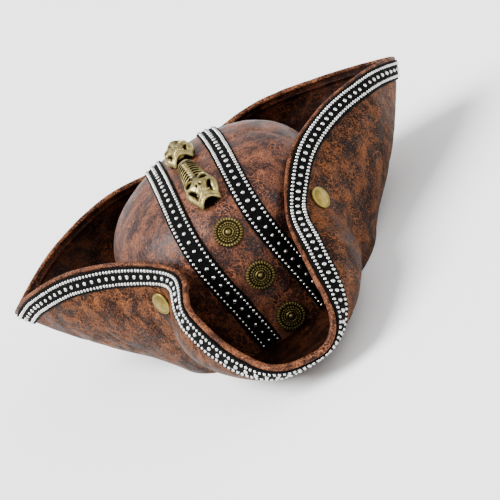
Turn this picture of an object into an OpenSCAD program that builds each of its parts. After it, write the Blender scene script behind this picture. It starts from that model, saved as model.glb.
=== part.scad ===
// Tricorn costume hat. An oval crown of three panels stands on a brim that is turned up all round.
// The two front flaps of the brim are held to the crown by press studs, and fold out when unsnapped.
// Millimetres. The origin is the centre of the head opening, at the level that the hat rests on.
// The front of the hat faces -Y, and its left and right are those of someone who looks at its front.

/* [Crown] */
// Half of the crown's width at its base
crown_half_width = 87; // [84:0.5:92]
// Half of the crown's length at its base
crown_half_length = 102; // [99:0.5:106]
// Height of the crown
crown_height = 119.5; // [112:0.5:126]
// Share of its width that the wall loses towards the top
crown_taper = 0.03; // [0.01:0.01:0.05]
// Squareness of the crown's shoulder
crown_shoulder = 6; // [5:0.5:8]
// Half of the width of the centre panel
seam_x = 23.5; // [22:0.5:26]

/* [Cloth] */
// Thickness of the outer cloth, of crown and brim alike
cloth_t = 0.8; // [0.6:0.1:1]
// Thickness of the stiffener in the crown
crown_core_t = 1.6; // [1.2:0.1:2]
// Thickness of the crown's lining
lining_t = 0.6; // [0.4:0.1:0.8]
// Height of the sweatband
sweatband_h = 30; // [24:1:36]
// Thickness of the sweatband
sweatband_t = 1.2; // [0.8:0.1:1.6]

/* [Brim] */
// Thickness of the stiffener in the brim
brim_core_t = 1.6; // [1.2:0.1:2]
// How far the brim heads away from the crown before it turns up
brim_reach = 68; // [66:1:70]
// Gap that is left where a flap folds
fold_gap = 0.8; // [0.6:0.1:1.2]
// How far a flap's lower face slopes down towards the crown, in degrees
fold_tilt = 25; // [22:1:28]

/* [Trim] */
// Width of the beaded trims
trim_w = 15; // [12:0.5:17]
// Thickness of the beaded trims
trim_t = 1.2; // [0.8:0.1:1.6]
// Distance from the brim's edge to its trim
trim_inset = 3; // [2:0.5:5]
// Height at which the crown's trims start
crown_trim_z = 5; // [3:0.5:10]

/* [Medallions] */
// Diameter of a medallion
medallion_d = 20.5; // [18:0.5:24]
// Way up the crown from its base to the lowest medallion's centre
medallion_start = 14; // [13.5:0.5:16]
// Way up the crown from one medallion to the next
medallion_step = 35.5; // [30:0.5:37]

/* [Skeletons] */
// Way up the crown from its base to the mouth of the front skeleton
skeleton_start = 105.5; // [103:0.5:110]
// Way from one skeleton to the next
skeleton_step = 63; // [61:0.5:66]
// Length of a skeleton's skull
skull_l = 26; // [22:0.5:28]
// Width of a skeleton's skull
skull_w = 23; // [20:0.5:25]
// Width across the ribs
rib_w = 18; // [15:0.5:20]
// Rib pairs of a skeleton
rib_count = 8; // [6:1:9]

/* [Press studs] */
// Diameter of a cap
cap_d = 16; // [13:0.5:18]
// Outer diameter of a socket and of a stud's foot
socket_d = 12; // [10:0.5:13]
// Height of a socket
socket_h = 3; // [2.6:0.1:3.4]
// Diameter of a stud's post
post_d = 4.2; // [3.8:0.1:4.6]

/* [Hidden] */

// The brim's edge, from its front round by the right. Each row has the edge's x, y and z, the angle at
// which the brim rises from the crown there, and the bearing of that place on the crown from the front.
EDGE = [
    [3, -201, 20, 0, 1], [21, -192, 32, 8, 18], [28, -152, 56, 36, 33], [37, -102, 72, 75, 45],
    [64, -60, 91, 73, 61], [101, -14, 91, 50, 75], [146, 30, 81, 27, 90], [174, 75, 64, 20, 108],
    [125, 102, 77, 27, 130], [69, 116, 88, 34, 154], [2, 118, 87, 38, 180], [-62, 119, 98, 39, 206],
    [-120, 105, 94, 36, 229], [-165, 73, 82, 31, 249], [-145, 30, 97, 38, 264],
    [-108, -12, 104, 57, 278], [-68, -53, 96, 72, 293], [-41, -99, 83, 78, 311],
    [-47, -148, 70, 37, 325], [-31, -189, 31, 4, 343]
];
EDGE_N = len(EDGE);
// Rings and columns of the brim's mesh, and of the crown's
BRIM_U = 80;
BRIM_V = 6;
CROWN_A = 48;
CROWN_Z = 12;
TRIM_ROWS = 72;

// The crown's trims sway sideways: rows of the share of the way over the crown, and of the sway there
TRIM_SWAY = [[0, 2], [0.22, -2.2], [0.5, 5.5], [1, 0]];
// How far each skeleton lies to the right of the crown's middle, from the front one
SKELETON_X = [2.4, 3.6];

// Room for the seam between the crown and the brim
seam_gap = 0.3;
// Room under the trims
trim_gap = 0.35;

brim_t = brim_core_t + 2 * cloth_t;
crown_t = cloth_t + crown_core_t + lining_t;

// Each flap folds about a straight line between two places on the brim's edge, given in rows of EDGE
LEFT_FOLD = [19, 14];
RIGHT_FOLD = [1, 6];
// Each press stud's place on its flap: rows of EDGE from the front, and share of the way to the edge
LEFT_SNAP = [16.8, 0.63];
RIGHT_SNAP = [3.2, 0.61];

// ---------------------------------------------------------------------------- helpers

function unit(v) = v / norm(v);
function sum_to(p, n) = [for (i = 0, s = 0; i < n; i = i + 1, s = i < n ? s + norm(p[i] - p[i - 1]) : s) s];

// A closed sheet between two grids of points. Its rows run round, its columns run up, and the first
// grid is the outer face. loop joins the last row to the first. tips closes the last column to a point.
module sheet(outer, inner, loop = false, tips = []) {
    rows = len(outer);
    cols = len(outer[0]);
    n = rows * cols;
    spans = loop ? rows : rows - 1;
    points = concat([for (row = outer) each row], [for (row = inner) each row], tips);
    faces = concat(
        [for (r = [0:spans - 1], c = [0:cols - 2])
            let (a = r * cols + c, b = a + 1, d = ((r + 1) % rows) * cols + c, e = d + 1)
            each [[a, b, e], [a, e, d], [a + n, e + n, b + n], [a + n, d + n, e + n]]],
        [for (r = [0:spans - 1])
            let (a = r * cols, d = ((r + 1) % rows) * cols) each [[a, d, d + n], [a, d + n, a + n]]],
        [for (r = [0:spans - 1])
            let (a = r * cols + cols - 1, d = ((r + 1) % rows) * cols + cols - 1)
            each len(tips) > 0 ? [[a, 2 * n, d], [a + n, d + n, 2 * n + 1]]
                               : [[a, d + n, d], [a, a + n, d + n]]],
        loop ? [] : [for (c = [0:cols - 2])
            let (a = c, b = c + 1, f = (rows - 1) * cols + c, g = f + 1)
            each [[a, a + n, b + n], [a, b + n, b], [f, g, g + n], [f, g + n, f + n]]]
    );
    polyhedron(points = points, faces = faces, convexity = 6);
}

// Turns +Z to face along n and moves to p
module facing(p, n) {
    translate(p) rotate([0, acos(n.z), atan2(n.y, n.x)]) children();
}

// ---------------------------------------------------------------------------- crown

// Share of the base's width that the crown has at height z, and the slope of its square
function crown_g(z) =
    let (u = max(0, min(z / crown_height, 1))) (1 - crown_taper * u) * sqrt(1 - pow(u, crown_shoulder));
function crown_slope(z) = (pow(crown_g(z + 0.01), 2) - pow(crown_g(z - 0.01), 2)) / 0.02;
function crown_normal(p) =
    unit([p.x / pow(crown_half_width, 2), p.y / pow(crown_half_length, 2), -crown_slope(p.z) / 2]);

// A point of the crown at a bearing from the front and a height, pushed in by depth d
function crown_point(bearing, z, d) =
    let (
        g = crown_g(z),
        p = [crown_half_width * g * sin(bearing), -crown_half_length * g * cos(bearing), z],
        q = p - d * crown_normal(p)
    ) z == 0 ? [q.x, q.y, 0] : q;

function crown_grid(d) =
    [for (i = [0:CROWN_A - 1]) [for (j = [0:CROWN_Z])
        crown_point(i * 360 / CROWN_A, crown_height * sin(84 * j / CROWN_Z), d)]];

module crown_shell(from, to) {
    tips = [[0, 0, crown_height - from], [0, 0, crown_height - to]];
    sheet(crown_grid(from), crown_grid(to), loop = true, tips = tips);
}

// The line over the crown at a given x, by its share t of the way from front to back
function crown_top(x, lo = 0, hi = crown_height, n = 24) =
    n == 0 ? lo :
    let (m = (lo + hi) / 2)
    crown_g(m) > abs(x) / crown_half_width ? crown_top(x, m, hi, n - 1) : crown_top(x, lo, m, n - 1);
function over_crown(x, t, lift = 0) =
    let (
        z = crown_top(x) * sin(180 * t),
        y = crown_half_length * sqrt(max(0, pow(crown_g(z), 2) - pow(x / crown_half_width, 2))),
        p = [x, t < 0.5 ? -y : y, z]
    ) p + lift * crown_normal(p);

// The same line by the length of the way along it, for x = 0
CENTRE_LINE = [for (i = [0:200]) over_crown(0, i / 200)];
CENTRE_LENGTH = sum_to(CENTRE_LINE, len(CENTRE_LINE));
function centre_at(s) =
    let (
        i = max([for (k = [0:len(CENTRE_LENGTH) - 2]) if (CENTRE_LENGTH[k] <= s) k]),
        f = (s - CENTRE_LENGTH[i]) / (CENTRE_LENGTH[i + 1] - CENTRE_LENGTH[i])
    ) CENTRE_LINE[i] + f * (CENTRE_LINE[i + 1] - CENTRE_LINE[i]);

// Stands children on the crown's centre line, +Z outwards and +Y along the line to the back
module on_centre_line(s, lift = 0) {
    p = centre_at(s);
    n = crown_normal(p);
    translate(p + lift * n) rotate([atan2(-n.y, n.z), 0, 0]) children();
}

module left_half() {
    intersection() {
        children();
        translate([-300 - seam_x, -150, -10]) cube([300, 300, 200]);
    }
}

module right_half() {
    mirror([1, 0, 0]) left_half() mirror([1, 0, 0]) children();
}

module crown_centre_panel() {
    color([0.30, 0.16, 0.12])
    intersection() {
        crown_shell(0, cloth_t);
        translate([-seam_x, -150, -10]) cube([2 * seam_x, 300, 200]);
    }
}

module crown_left_panel() {
    color([0.33, 0.18, 0.13])
    difference() {
        left_half() crown_shell(0, cloth_t);
        snap_seat(LEFT_SNAP);
    }
}

module crown_right_panel() {
    color([0.33, 0.18, 0.13])
    difference() {
        right_half() crown_shell(0, cloth_t);
        snap_seat(RIGHT_SNAP);
    }
}

module crown_stiffener() {
    color([0.75, 0.72, 0.66])
    difference() {
        crown_shell(cloth_t, cloth_t + crown_core_t);
        snap_seat(LEFT_SNAP);
        snap_seat(RIGHT_SNAP);
    }
}

module crown_lining() {
    color([0.08, 0.07, 0.07])
    crown_shell(cloth_t + crown_core_t, crown_t);
}

module sweatband() {
    rows = [for (i = [0:CROWN_A - 1]) i * 360 / CROWN_A];
    outer = [for (a = rows) [crown_point(a, 0, crown_t), crown_point(a, sweatband_h, crown_t + 0.1)]];
    inner = [for (a = rows) [for (j = [0, 1]) outer[a * CROWN_A / 360][j]
        - sweatband_t * unit([sin(a) / crown_half_width, -cos(a) / crown_half_length, 0])]];
    color([0.12, 0.08, 0.06])
    sheet(outer, inner, loop = true);
}

function trim_sway(t) =
    let (
        i = max([for (k = [0:len(TRIM_SWAY) - 2]) if (TRIM_SWAY[k][0] <= t) k]),
        a = TRIM_SWAY[i],
        b = TRIM_SWAY[i + 1],
        f = (1 - cos(180 * (t - a[0]) / (b[0] - a[0]))) / 2
    ) a[1] + f * (b[1] - a[1]);

// A beaded trim over the crown, along the seam at x
module crown_trim(x) {
    t_start = asin(crown_trim_z / crown_height) / 180;
    grid = function (lift) [for (i = [0:TRIM_ROWS])
        let (t = t_start + (1 - 2 * t_start) * i / TRIM_ROWS, mid = x + trim_sway(t))
        [for (s = [-1, -1/3, 1/3, 1]) over_crown(mid - s * trim_w / 2, t, lift)]];
    color([0.07, 0.07, 0.08])
    sheet(grid(trim_gap + trim_t), grid(trim_gap));
}

module crown_trim_left() {
    crown_trim(-seam_x);
}

module crown_trim_right() {
    crown_trim(seam_x);
}

// ---------------------------------------------------------------------------- ornaments

medallion_rim = 1.6;
thread_d = 0.8;
thread_reach = 0.35 * medallion_d;

module medallion() {
    r = medallion_d / 2;
    teeth = 30;
    color([0.50, 0.42, 0.22])
    difference() {
        union() {
            rotate_extrude($fn = 64) polygon([
                [0, 0], [r - 1.4, 0], [r - 1.4, medallion_rim], [r - 3, medallion_rim + 0.3],
                [r - 5, medallion_rim - 0.1], [r - 6, medallion_rim + 0.8], [2.2, medallion_rim + 1.5],
                [0, medallion_rim + 1.8]
            ]);
            for (i = [0:teeth - 1]) rotate([0, 0, i * 360 / teeth])
                translate([r - 1.3, 0, 0]) cylinder(d = 1.7, h = 1.3, $fn = 16);
        }
        for (s = [-1, 1]) translate([0, s * thread_reach, -1]) cylinder(d = 1.6, h = 5, $fn = 24);
    }
}

function medallion_at(i) = medallion_start + i * medallion_step;

module medallion_on_crown(i) {
    on_centre_line(medallion_at(i), 0.35) medallion();
}

module medallion_lower() {
    medallion_on_crown(0);
}

module medallion_middle() {
    medallion_on_crown(1);
}

module medallion_upper() {
    medallion_on_crown(2);
}

// The stitches that come up through the medallions' holes
module medallion_threads() {
    color([0.10, 0.08, 0.07])
    for (i = [0:2], s = [-1, 1])
        on_centre_line(medallion_at(i), 0.1) translate([0, s * thread_reach, 0.1])
            cylinder(d = thread_d, h = 2.6, $fn = 16);
}

skull_h = 11;
mouth_d = 11;
skeleton_l = 58;
spine_d = 4.4;
rib_t = 1.8;
rib_arch = 7;
spine_z = rib_arch - spine_d / 2 - 0.3;
rib_r = (pow(rib_w / 2, 2) + pow(rib_arch, 2)) / (2 * rib_arch);
rib_start = skull_l + 3;
rib_pitch = (skeleton_l - rib_start - 5) / (rib_count - 1);
rest_gap = 0.5;

// The skull's mouth is at its origin, and it lies along +Y
module skull() {
    difference() {
        union() {
            translate([0, skull_l * 0.62, skull_h / 2]) resize([skull_w, skull_l * 0.76, skull_h])
                sphere(r = 10, $fn = 28);
            translate([0, 0, skull_h * 0.6]) rotate([-90, 0, 0])
                cylinder(d = skull_h * 1.2, h = skull_l * 0.5, $fn = 32);
        }
        translate([0, -1, skull_h * 0.6]) rotate([-90, 0, 0])
            cylinder(d = mouth_d, h = skull_l * 0.4, $fn = 32);
        for (s = [-1, 1]) translate([s * skull_w * 0.22, skull_l * 0.66, skull_h])
            cylinder(d = 5.6, h = 7, center = true, $fn = 24);
    }
}

// A rib is an arch across the crown
module rib() {
    rotate([90, 0, 0]) linear_extrude(rib_t, center = true) intersection() {
        translate([0, rib_arch - rib_r]) difference() {
            circle(r = rib_r, $fn = 48);
            circle(r = rib_r - 2.2, $fn = 48);
        }
        translate([-rib_w, 0]) square([2 * rib_w, rib_w]);
    }
}

// A rod over the crown's centre line, from one way along it to another
module spine(from, to) {
    steps = 9;
    sides = 12;
    points = [for (i = [0:steps])
        let (p = centre_at(from + (to - from) * i / steps), out = crown_normal(p))
        for (k = [0:sides - 1])
            p + (rest_gap + spine_z + spine_d / 2 * cos(360 * k / sides)) * out
              + [spine_d / 2 * sin(360 * k / sides), 0, 0]];
    walls = [for (i = [0:steps - 1], k = [0:sides - 1])
        let (a = i * sides + k, b = i * sides + (k + 1) % sides)
        each [[a, b + sides, b], [a, a + sides, b + sides]]];
    ends = [[for (k = [0:sides - 1]) k], [for (k = [sides - 1:-1:0]) steps * sides + k]];
    polyhedron(points = points, faces = concat(walls, ends));
}

// Each bone of a skeleton stands on the crown at its own place along the centre line
module skeleton(i) {
    start = skeleton_start + i * skeleton_step;
    color([0.55, 0.47, 0.26]) translate([SKELETON_X[i], 0, 0]) {
        on_centre_line(start + skull_l / 2, rest_gap) translate([0, -skull_l / 2, 0]) skull();
        spine(start + skull_l - 3, start + skeleton_l - 4.5);
        for (k = [0:rib_count - 1]) on_centre_line(start + rib_start + k * rib_pitch, rest_gap) rib();
        on_centre_line(start + skeleton_l - 1, rest_gap) translate([0, -1, spine_z])
            rotate_extrude($fn = 40) translate([3.6, 0]) circle(d = 2, $fn = 24);
    }
}

module skeleton_front() {
    skeleton(0);
}

module skeleton_rear() {
    skeleton(1);
}

// The thread bars over each spine, behind the skull and at the shoulders
module skeleton_threads() {
    color([0.10, 0.08, 0.07])
    for (i = [0, 1], way = [skull_l + 1.2, skeleton_l - 6.7])
        translate([SKELETON_X[i], 0, 0]) on_centre_line(skeleton_start + i * skeleton_step + way, rest_gap)
            translate([0, 0, spine_z]) rotate([90, 0, 0])
                rotate_extrude(angle = 180, $fn = 32)
                    translate([spine_d / 2 + 0.5, 0]) circle(d = thread_d, $fn = 16);
}

// ---------------------------------------------------------------------------- brim

// The row of EDGE at u turns of the brim, on a smooth curve through the rows
function edge_row(k) = let (n = floor(k / EDGE_N)) EDGE[k - n * EDGE_N] + [0, 0, 0, 0, 360 * n];
function edge_at(u) =
    let (
        k = floor(u * EDGE_N),
        f = u * EDGE_N - k,
        a = edge_row(k - 1), b = edge_row(k), c = edge_row(k + 1), d = edge_row(k + 2)
    )
    a * (-0.5 * f + f * f - 0.5 * pow(f, 3)) + b * (1 - 2.5 * f * f + 1.5 * pow(f, 3))
    + c * (0.5 * f + 2 * f * f - 1.5 * pow(f, 3)) + d * (-0.5 * f * f + 0.5 * pow(f, 3));

// The three points that bend the brim's section at u: at the crown, out and up from it, at the edge
function section(u) =
    let (
        e = edge_at(u),
        foot = [(crown_half_width + seam_gap) * sin(e[4]), -(crown_half_length + seam_gap) * cos(e[4]), 0],
        out = unit([sin(e[4]) / crown_half_width, -cos(e[4]) / crown_half_length, 0])
    )
    [foot, foot + brim_reach * (out * cos(e[3]) + [0, 0, sin(e[3])]), [e[0], e[1], e[2]]];
function on_section(s, v) = pow(1 - v, 2) * s[0] + 2 * v * (1 - v) * s[1] + v * v * s[2];

// A point of the brim, v of the way from crown to edge, pushed out by d from the middle of its thickness
function brim_normal(u, v) =
    let (
        along = on_section(section(u + 0.001), v) - on_section(section(u - 0.001), v),
        s = section(u),
        up = on_section(s, v + 0.001) - on_section(s, v - 0.001)
    ) unit(cross(along, up));
function brim_point(u, v, d) =
    on_section(section(u), v) + [0, 0, brim_t / 2] + d * (v == 0 ? [0, 0, -1] : brim_normal(u, v));

// The share v that lies a way s in from the edge
function speed(s, v) = norm(2 * (1 - v) * (s[1] - s[0]) + 2 * v * (s[2] - s[1]));
function inset(u, way) = let (s = section(u)) 1 - way / speed(s, 1 - 0.5 * way / speed(s, 1));

function brim_grid(d) =
    [for (i = [0:BRIM_U - 1]) [for (j = [0:BRIM_V]) brim_point(i / BRIM_U, j / BRIM_V, d)]];

module brim_layer(inner, outer) {
    sheet(brim_grid(outer), brim_grid(inner), loop = true);
}

module brim_cover_layer() {
    brim_layer(brim_core_t / 2, brim_t / 2);
}

module brim_core_layer() {
    brim_layer(-brim_core_t / 2, brim_core_t / 2);
}

module brim_lining_layer() {
    brim_layer(-brim_t / 2, -brim_core_t / 2);
}

module brim_trim_layer() {
    grid = function (d) [for (i = [0:BRIM_U - 1]) let (u = i / BRIM_U)
        [for (way = [trim_inset + trim_w, trim_inset + trim_w / 2, trim_inset])
            brim_point(u, inset(u, way), d)]];
    sheet(grid(brim_t / 2 + trim_gap + trim_t), grid(brim_t / 2 + trim_gap), loop = true);
}

// The space that a flap is cut from: all that lies over its fold line, on that side of the brim
module flap_space(fold, gap) {
    a = brim_point(fold[0] / EDGE_N, 1, 0);
    b = brim_point(fold[1] / EDGE_N, 1, 0);
    length = norm(b - a);
    side = b.x > 0 ? 1 : -1;
    yaw = atan2(b.y - a.y, b.x - a.x);
    pitch = asin((b.z - a.z) / length);
    translate(a) rotate([0, -pitch, yaw]) rotate([-side * fold_tilt, 0, 0])
        translate([-6, side > 0 ? -20 : -40, gap]) cube([length + 12, 60, 90]);
}

module root_part() {
    difference() {
        children();
        flap_space(LEFT_FOLD, -fold_gap / 2);
        flap_space(RIGHT_FOLD, -fold_gap / 2);
    }
}

module flap_part(fold) {
    intersection() {
        children();
        flap_space(fold, fold_gap / 2);
    }
}

module brim_outer_cover() {
    color([0.36, 0.19, 0.12])
    root_part() brim_cover_layer();
}

module brim_stiffener() {
    color([0.75, 0.72, 0.66])
    root_part() brim_core_layer();
}

module brim_inner_cover() {
    color([0.22, 0.12, 0.09])
    root_part() brim_lining_layer();
}

module brim_trim_front() {
    color([0.07, 0.07, 0.08])
    intersection() {
        root_part() brim_trim_layer();
        translate([-100, -300, -10]) cube([200, 200, 200]);
    }
}

module brim_trim_back() {
    color([0.07, 0.07, 0.08])
    difference() {
        root_part() brim_trim_layer();
        translate([-100, -300, -10]) cube([200, 200, 200]);
    }
}

module flap_outer_cover(fold, snap) {
    color([0.36, 0.19, 0.12])
    difference() {
        flap_part(fold) brim_cover_layer();
        cap_seat(snap);
    }
}

module flap_stiffener(fold, snap) {
    color([0.75, 0.72, 0.66])
    difference() {
        flap_part(fold) brim_core_layer();
        cap_seat(snap);
    }
}

module flap_inner_cover(fold, snap) {
    color([0.22, 0.12, 0.09])
    difference() {
        flap_part(fold) brim_lining_layer();
        cap_seat(snap);
    }
}

module flap_trim(fold) {
    color([0.07, 0.07, 0.08])
    flap_part(fold) brim_trim_layer();
}

module left_flap_outer_cover() {
    flap_outer_cover(LEFT_FOLD, LEFT_SNAP);
}

module left_flap_stiffener() {
    flap_stiffener(LEFT_FOLD, LEFT_SNAP);
}

module left_flap_inner_cover() {
    flap_inner_cover(LEFT_FOLD, LEFT_SNAP);
}

module left_flap_trim() {
    flap_trim(LEFT_FOLD);
}

module right_flap_outer_cover() {
    flap_outer_cover(RIGHT_FOLD, RIGHT_SNAP);
}

module right_flap_stiffener() {
    flap_stiffener(RIGHT_FOLD, RIGHT_SNAP);
}

module right_flap_inner_cover() {
    flap_inner_cover(RIGHT_FOLD, RIGHT_SNAP);
}

module right_flap_trim() {
    flap_trim(RIGHT_FOLD);
}

// ---------------------------------------------------------------------------- press studs

cap_h = 1.8;
shank_d = 3.6;
foot_h = 1.2;
cap_bed = brim_t / 2;

// A press stud's line: its place in the flap's thickness, the way it faces, and the crown behind it
function inside_crown(p) =
    pow(p.x / crown_half_width, 2) + pow(p.y / crown_half_length, 2) < pow(crown_g(p.z), 2);
function reach_crown(p, n, lo = 0, hi = 40, k = 24) =
    k == 0 ? lo :
    let (m = (lo + hi) / 2)
    inside_crown(p - m * n) ? reach_crown(p, n, lo, m, k - 1) : reach_crown(p, n, m, hi, k - 1);
function snap_place(snap) = brim_point(snap[0] / EDGE_N, snap[1], 0);
function snap_facing(snap) =
    let (
        p = snap_place(snap),
        n = brim_normal(snap[0] / EDGE_N, snap[1]),
        foot = p - reach_crown(p, n) * n
    ) unit(n + crown_normal(foot));
function snap_span(snap) = reach_crown(snap_place(snap), snap_facing(snap));

module at_snap(snap) {
    facing(snap_place(snap), snap_facing(snap)) children();
}

// What the cap and its shank, and the socket, take out of the flap's layers
module cap_seat(snap) {
    at_snap(snap) {
        translate([0, 0, -10]) cylinder(d = shank_d + 0.1, h = 20, $fn = 32);
        translate([0, 0, cap_bed - 0.4]) cylinder(d = cap_d + 0.2, h = 10, $fn = 48);
        translate([0, 0, -10 - cap_bed + 0.4]) cylinder(d = socket_d + 0.2, h = 10, $fn = 48);
    }
}

// What the stud's foot and shank take out of the crown's layers
module snap_seat(snap) {
    span = snap_span(snap);
    at_snap(snap) {
        translate([0, 0, -span - 0.5]) cylinder(d = socket_d + 0.2, h = 10, $fn = 48);
        translate([0, 0, -span - cloth_t - crown_core_t + 0.3]) cylinder(d = shank_d + 0.1, h = 10, $fn = 32);
    }
}

module snap_cap(snap) {
    color([0.72, 0.62, 0.32])
    at_snap(snap) {
        translate([0, 0, cap_bed - 0.4]) rotate_extrude($fn = 64) polygon([
            [0, 0], [cap_d / 2, 0], [cap_d / 2, 0.7], [cap_d / 2 - 0.6, 1.3], [cap_d / 2 - 3, cap_h - 0.2],
            [0, cap_h]
        ]);
        translate([0, 0, -cap_bed + 0.4]) cylinder(d = shank_d, h = brim_t - 0.8, $fn = 32);
    }
}

// A socket is open towards the fold, so that the post can leave it as the flap swings out
module snap_socket(snap) {
    hole_d = post_d + 2.8;
    hole_h = socket_h - 0.6;
    color([0.70, 0.62, 0.36])
    at_snap(snap) translate([0, 0, -cap_bed + 0.4 - socket_h]) difference() {
        cylinder(d = socket_d, h = socket_h, $fn = 48);
        translate([0, 0, -1]) cylinder(d = hole_d, h = hole_h + 1, $fn = 32);
        translate([0, -hole_d / 2, -1]) cube([socket_d, hole_d, hole_h + 1]);
    }
}

module snap_stud(snap) {
    span = snap_span(snap);
    post_end = -cap_bed + 0.4 - 1.7;
    color([0.70, 0.62, 0.36])
    at_snap(snap) {
        translate([0, 0, -span - 0.5]) cylinder(d = socket_d, h = foot_h, $fn = 48);
        translate([0, 0, -span - 0.5]) cylinder(d = post_d, h = span + 0.5 + post_end, $fn = 32);
        translate([0, 0, -span - cloth_t - crown_core_t + 0.4])
            cylinder(d = shank_d, h = cloth_t + crown_core_t, $fn = 32);
    }
}

module left_snap_cap() {
    snap_cap(LEFT_SNAP);
}

module left_snap_socket() {
    snap_socket(LEFT_SNAP);
}

module left_snap_stud() {
    snap_stud(LEFT_SNAP);
}

module right_snap_cap() {
    snap_cap(RIGHT_SNAP);
}

module right_snap_socket() {
    snap_socket(RIGHT_SNAP);
}

module right_snap_stud() {
    snap_stud(RIGHT_SNAP);
}

// ---------------------------------------------------------------------------- the hat

crown_centre_panel();
crown_left_panel();
crown_right_panel();
crown_stiffener();
crown_lining();
sweatband();
crown_trim_left();
crown_trim_right();
medallion_lower();
medallion_middle();
medallion_upper();
medallion_threads();
skeleton_front();
skeleton_rear();
skeleton_threads();
brim_outer_cover();
brim_stiffener();
brim_inner_cover();
brim_trim_front();
brim_trim_back();
left_flap_outer_cover();
left_flap_stiffener();
left_flap_inner_cover();
left_flap_trim();
right_flap_outer_cover();
right_flap_stiffener();
right_flap_inner_cover();
right_flap_trim();
left_snap_cap();
left_snap_socket();
left_snap_stud();
right_snap_cap();
right_snap_socket();
right_snap_stud();
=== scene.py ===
import math
import bpy
import numpy as np
from mathutils import Matrix, Vector, noise


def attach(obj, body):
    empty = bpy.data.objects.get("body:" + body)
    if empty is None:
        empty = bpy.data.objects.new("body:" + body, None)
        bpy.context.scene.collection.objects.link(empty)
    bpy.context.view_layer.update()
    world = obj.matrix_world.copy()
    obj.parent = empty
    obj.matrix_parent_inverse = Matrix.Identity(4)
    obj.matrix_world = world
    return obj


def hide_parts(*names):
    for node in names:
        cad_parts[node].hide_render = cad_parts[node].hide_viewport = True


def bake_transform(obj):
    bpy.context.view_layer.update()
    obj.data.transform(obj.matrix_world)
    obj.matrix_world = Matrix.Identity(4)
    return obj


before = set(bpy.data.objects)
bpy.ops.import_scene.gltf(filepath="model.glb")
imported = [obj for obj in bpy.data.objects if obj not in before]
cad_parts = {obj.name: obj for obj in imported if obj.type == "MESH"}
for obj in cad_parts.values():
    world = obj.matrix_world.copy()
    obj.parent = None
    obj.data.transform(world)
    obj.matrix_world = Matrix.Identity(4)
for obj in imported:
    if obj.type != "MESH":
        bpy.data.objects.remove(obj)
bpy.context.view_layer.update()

# All shapes are worked out in millimetres, in the frame of the hat, and turned into metres by add_mesh.
MM = 0.001
RNG = np.random.default_rng(7)


# ------------------------------------------------------------------ helpers

def unit(v):
    """Vectors made one long, along the last axis."""
    return v / np.linalg.norm(v, axis=-1, keepdims=True)


def smooth(lo, hi, x):
    """A soft step from 0 at lo to 1 at hi."""
    t = np.clip((x - lo) / (hi - lo), 0, 1)
    return t * t * (3 - 2 * t)


def perlin(points, size, seed):
    """Smooth noise at points, with lumps of about one size."""
    shift = Vector((17.3 * seed, 5.1 * seed, 9.7 * seed))
    flat = points.reshape(-1, 3) / size
    return np.array([noise.noise(Vector(p) + shift) for p in flat]).reshape(points.shape[:-1])


def grid_quads(rows, cols, wrap_rows=True, wrap_cols=False):
    """The faces of a grid of points that is stored row by row."""
    r = np.arange(rows if wrap_rows else rows - 1)[:, None]
    c = np.arange(cols if wrap_cols else cols - 1)[None, :]
    a = r * cols + c
    b = r * cols + (c + 1) % cols
    d = (r + 1) % rows * cols + c
    e = (r + 1) % rows * cols + (c + 1) % cols
    return np.stack([a, d, e, b], -1).reshape(-1, 4)


def vertex_normals(points, quads):
    n = np.cross(points[quads[:, 2]] - points[quads[:, 0]], points[quads[:, 3]] - points[quads[:, 1]])
    out = np.zeros_like(points)
    for k in range(4):
        np.add.at(out, quads[:, k], n)
    return unit(out + 1e-12)


def add_mesh(name, points, faces, material, body=None, replaces=(), hollow=None, normals=None):
    """Makes one visible piece. rest_place keeps a material's pattern on the cloth while a flap moves."""
    mesh = bpy.data.meshes.new(name)
    mesh.from_pydata((points * MM).tolist(), [], [tuple(int(i) for i in f) for f in faces])
    rest = mesh.attributes.new("rest_place", "FLOAT_VECTOR", "POINT")
    rest.data.foreach_set("vector", (points * MM).astype(np.float32).ravel())
    if hollow is not None:
        mesh.attributes.new("hollow", "FLOAT", "POINT").data.foreach_set("value", hollow.astype(np.float32))
    mesh.shade_smooth()
    if normals is not None:
        mesh.normals_split_custom_set_from_vertices(normals.tolist())
    mesh.materials.append(material)
    o = bpy.data.objects.new(name, mesh)
    bpy.context.scene.collection.objects.link(o)
    if replaces:
        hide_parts(*replaces)
    if body:
        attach(o, body)
    return o


def lathe(profile, steps):
    """A round shape from (radius, height) points; the last one lies on the axis."""
    p = np.array(profile[:-1], float)
    a = np.arange(steps) * 2 * math.pi / steps
    ring = np.stack([np.cos(a)[:, None] * p[:, 0], np.sin(a)[:, None] * p[:, 0],
                     np.broadcast_to(p[:, 1], (steps, len(p)))], -1)
    points = np.vstack([ring.reshape(-1, 3), [[0, 0, profile[-1][1]]]])
    faces = [list(q) for q in grid_quads(steps, len(p))]
    last = len(p) - 1
    faces += [[i * len(p) + last, (i + 1) % steps * len(p) + last, steps * len(p)] for i in range(steps)]
    return points, faces


def stamp(shape, places, axes, scales):
    """Copies of one small shape. axes holds three rows for each place: its x, y and z directions."""
    points, faces = shape
    moved = np.einsum("pk,nk,nkj->npj", points, scales, axes) + places[:, None, :]
    faces_all = []
    for i in range(len(places)):
        faces_all += [[j + i * len(points) for j in f] for f in faces]
    return moved.reshape(-1, 3), faces_all


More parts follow.
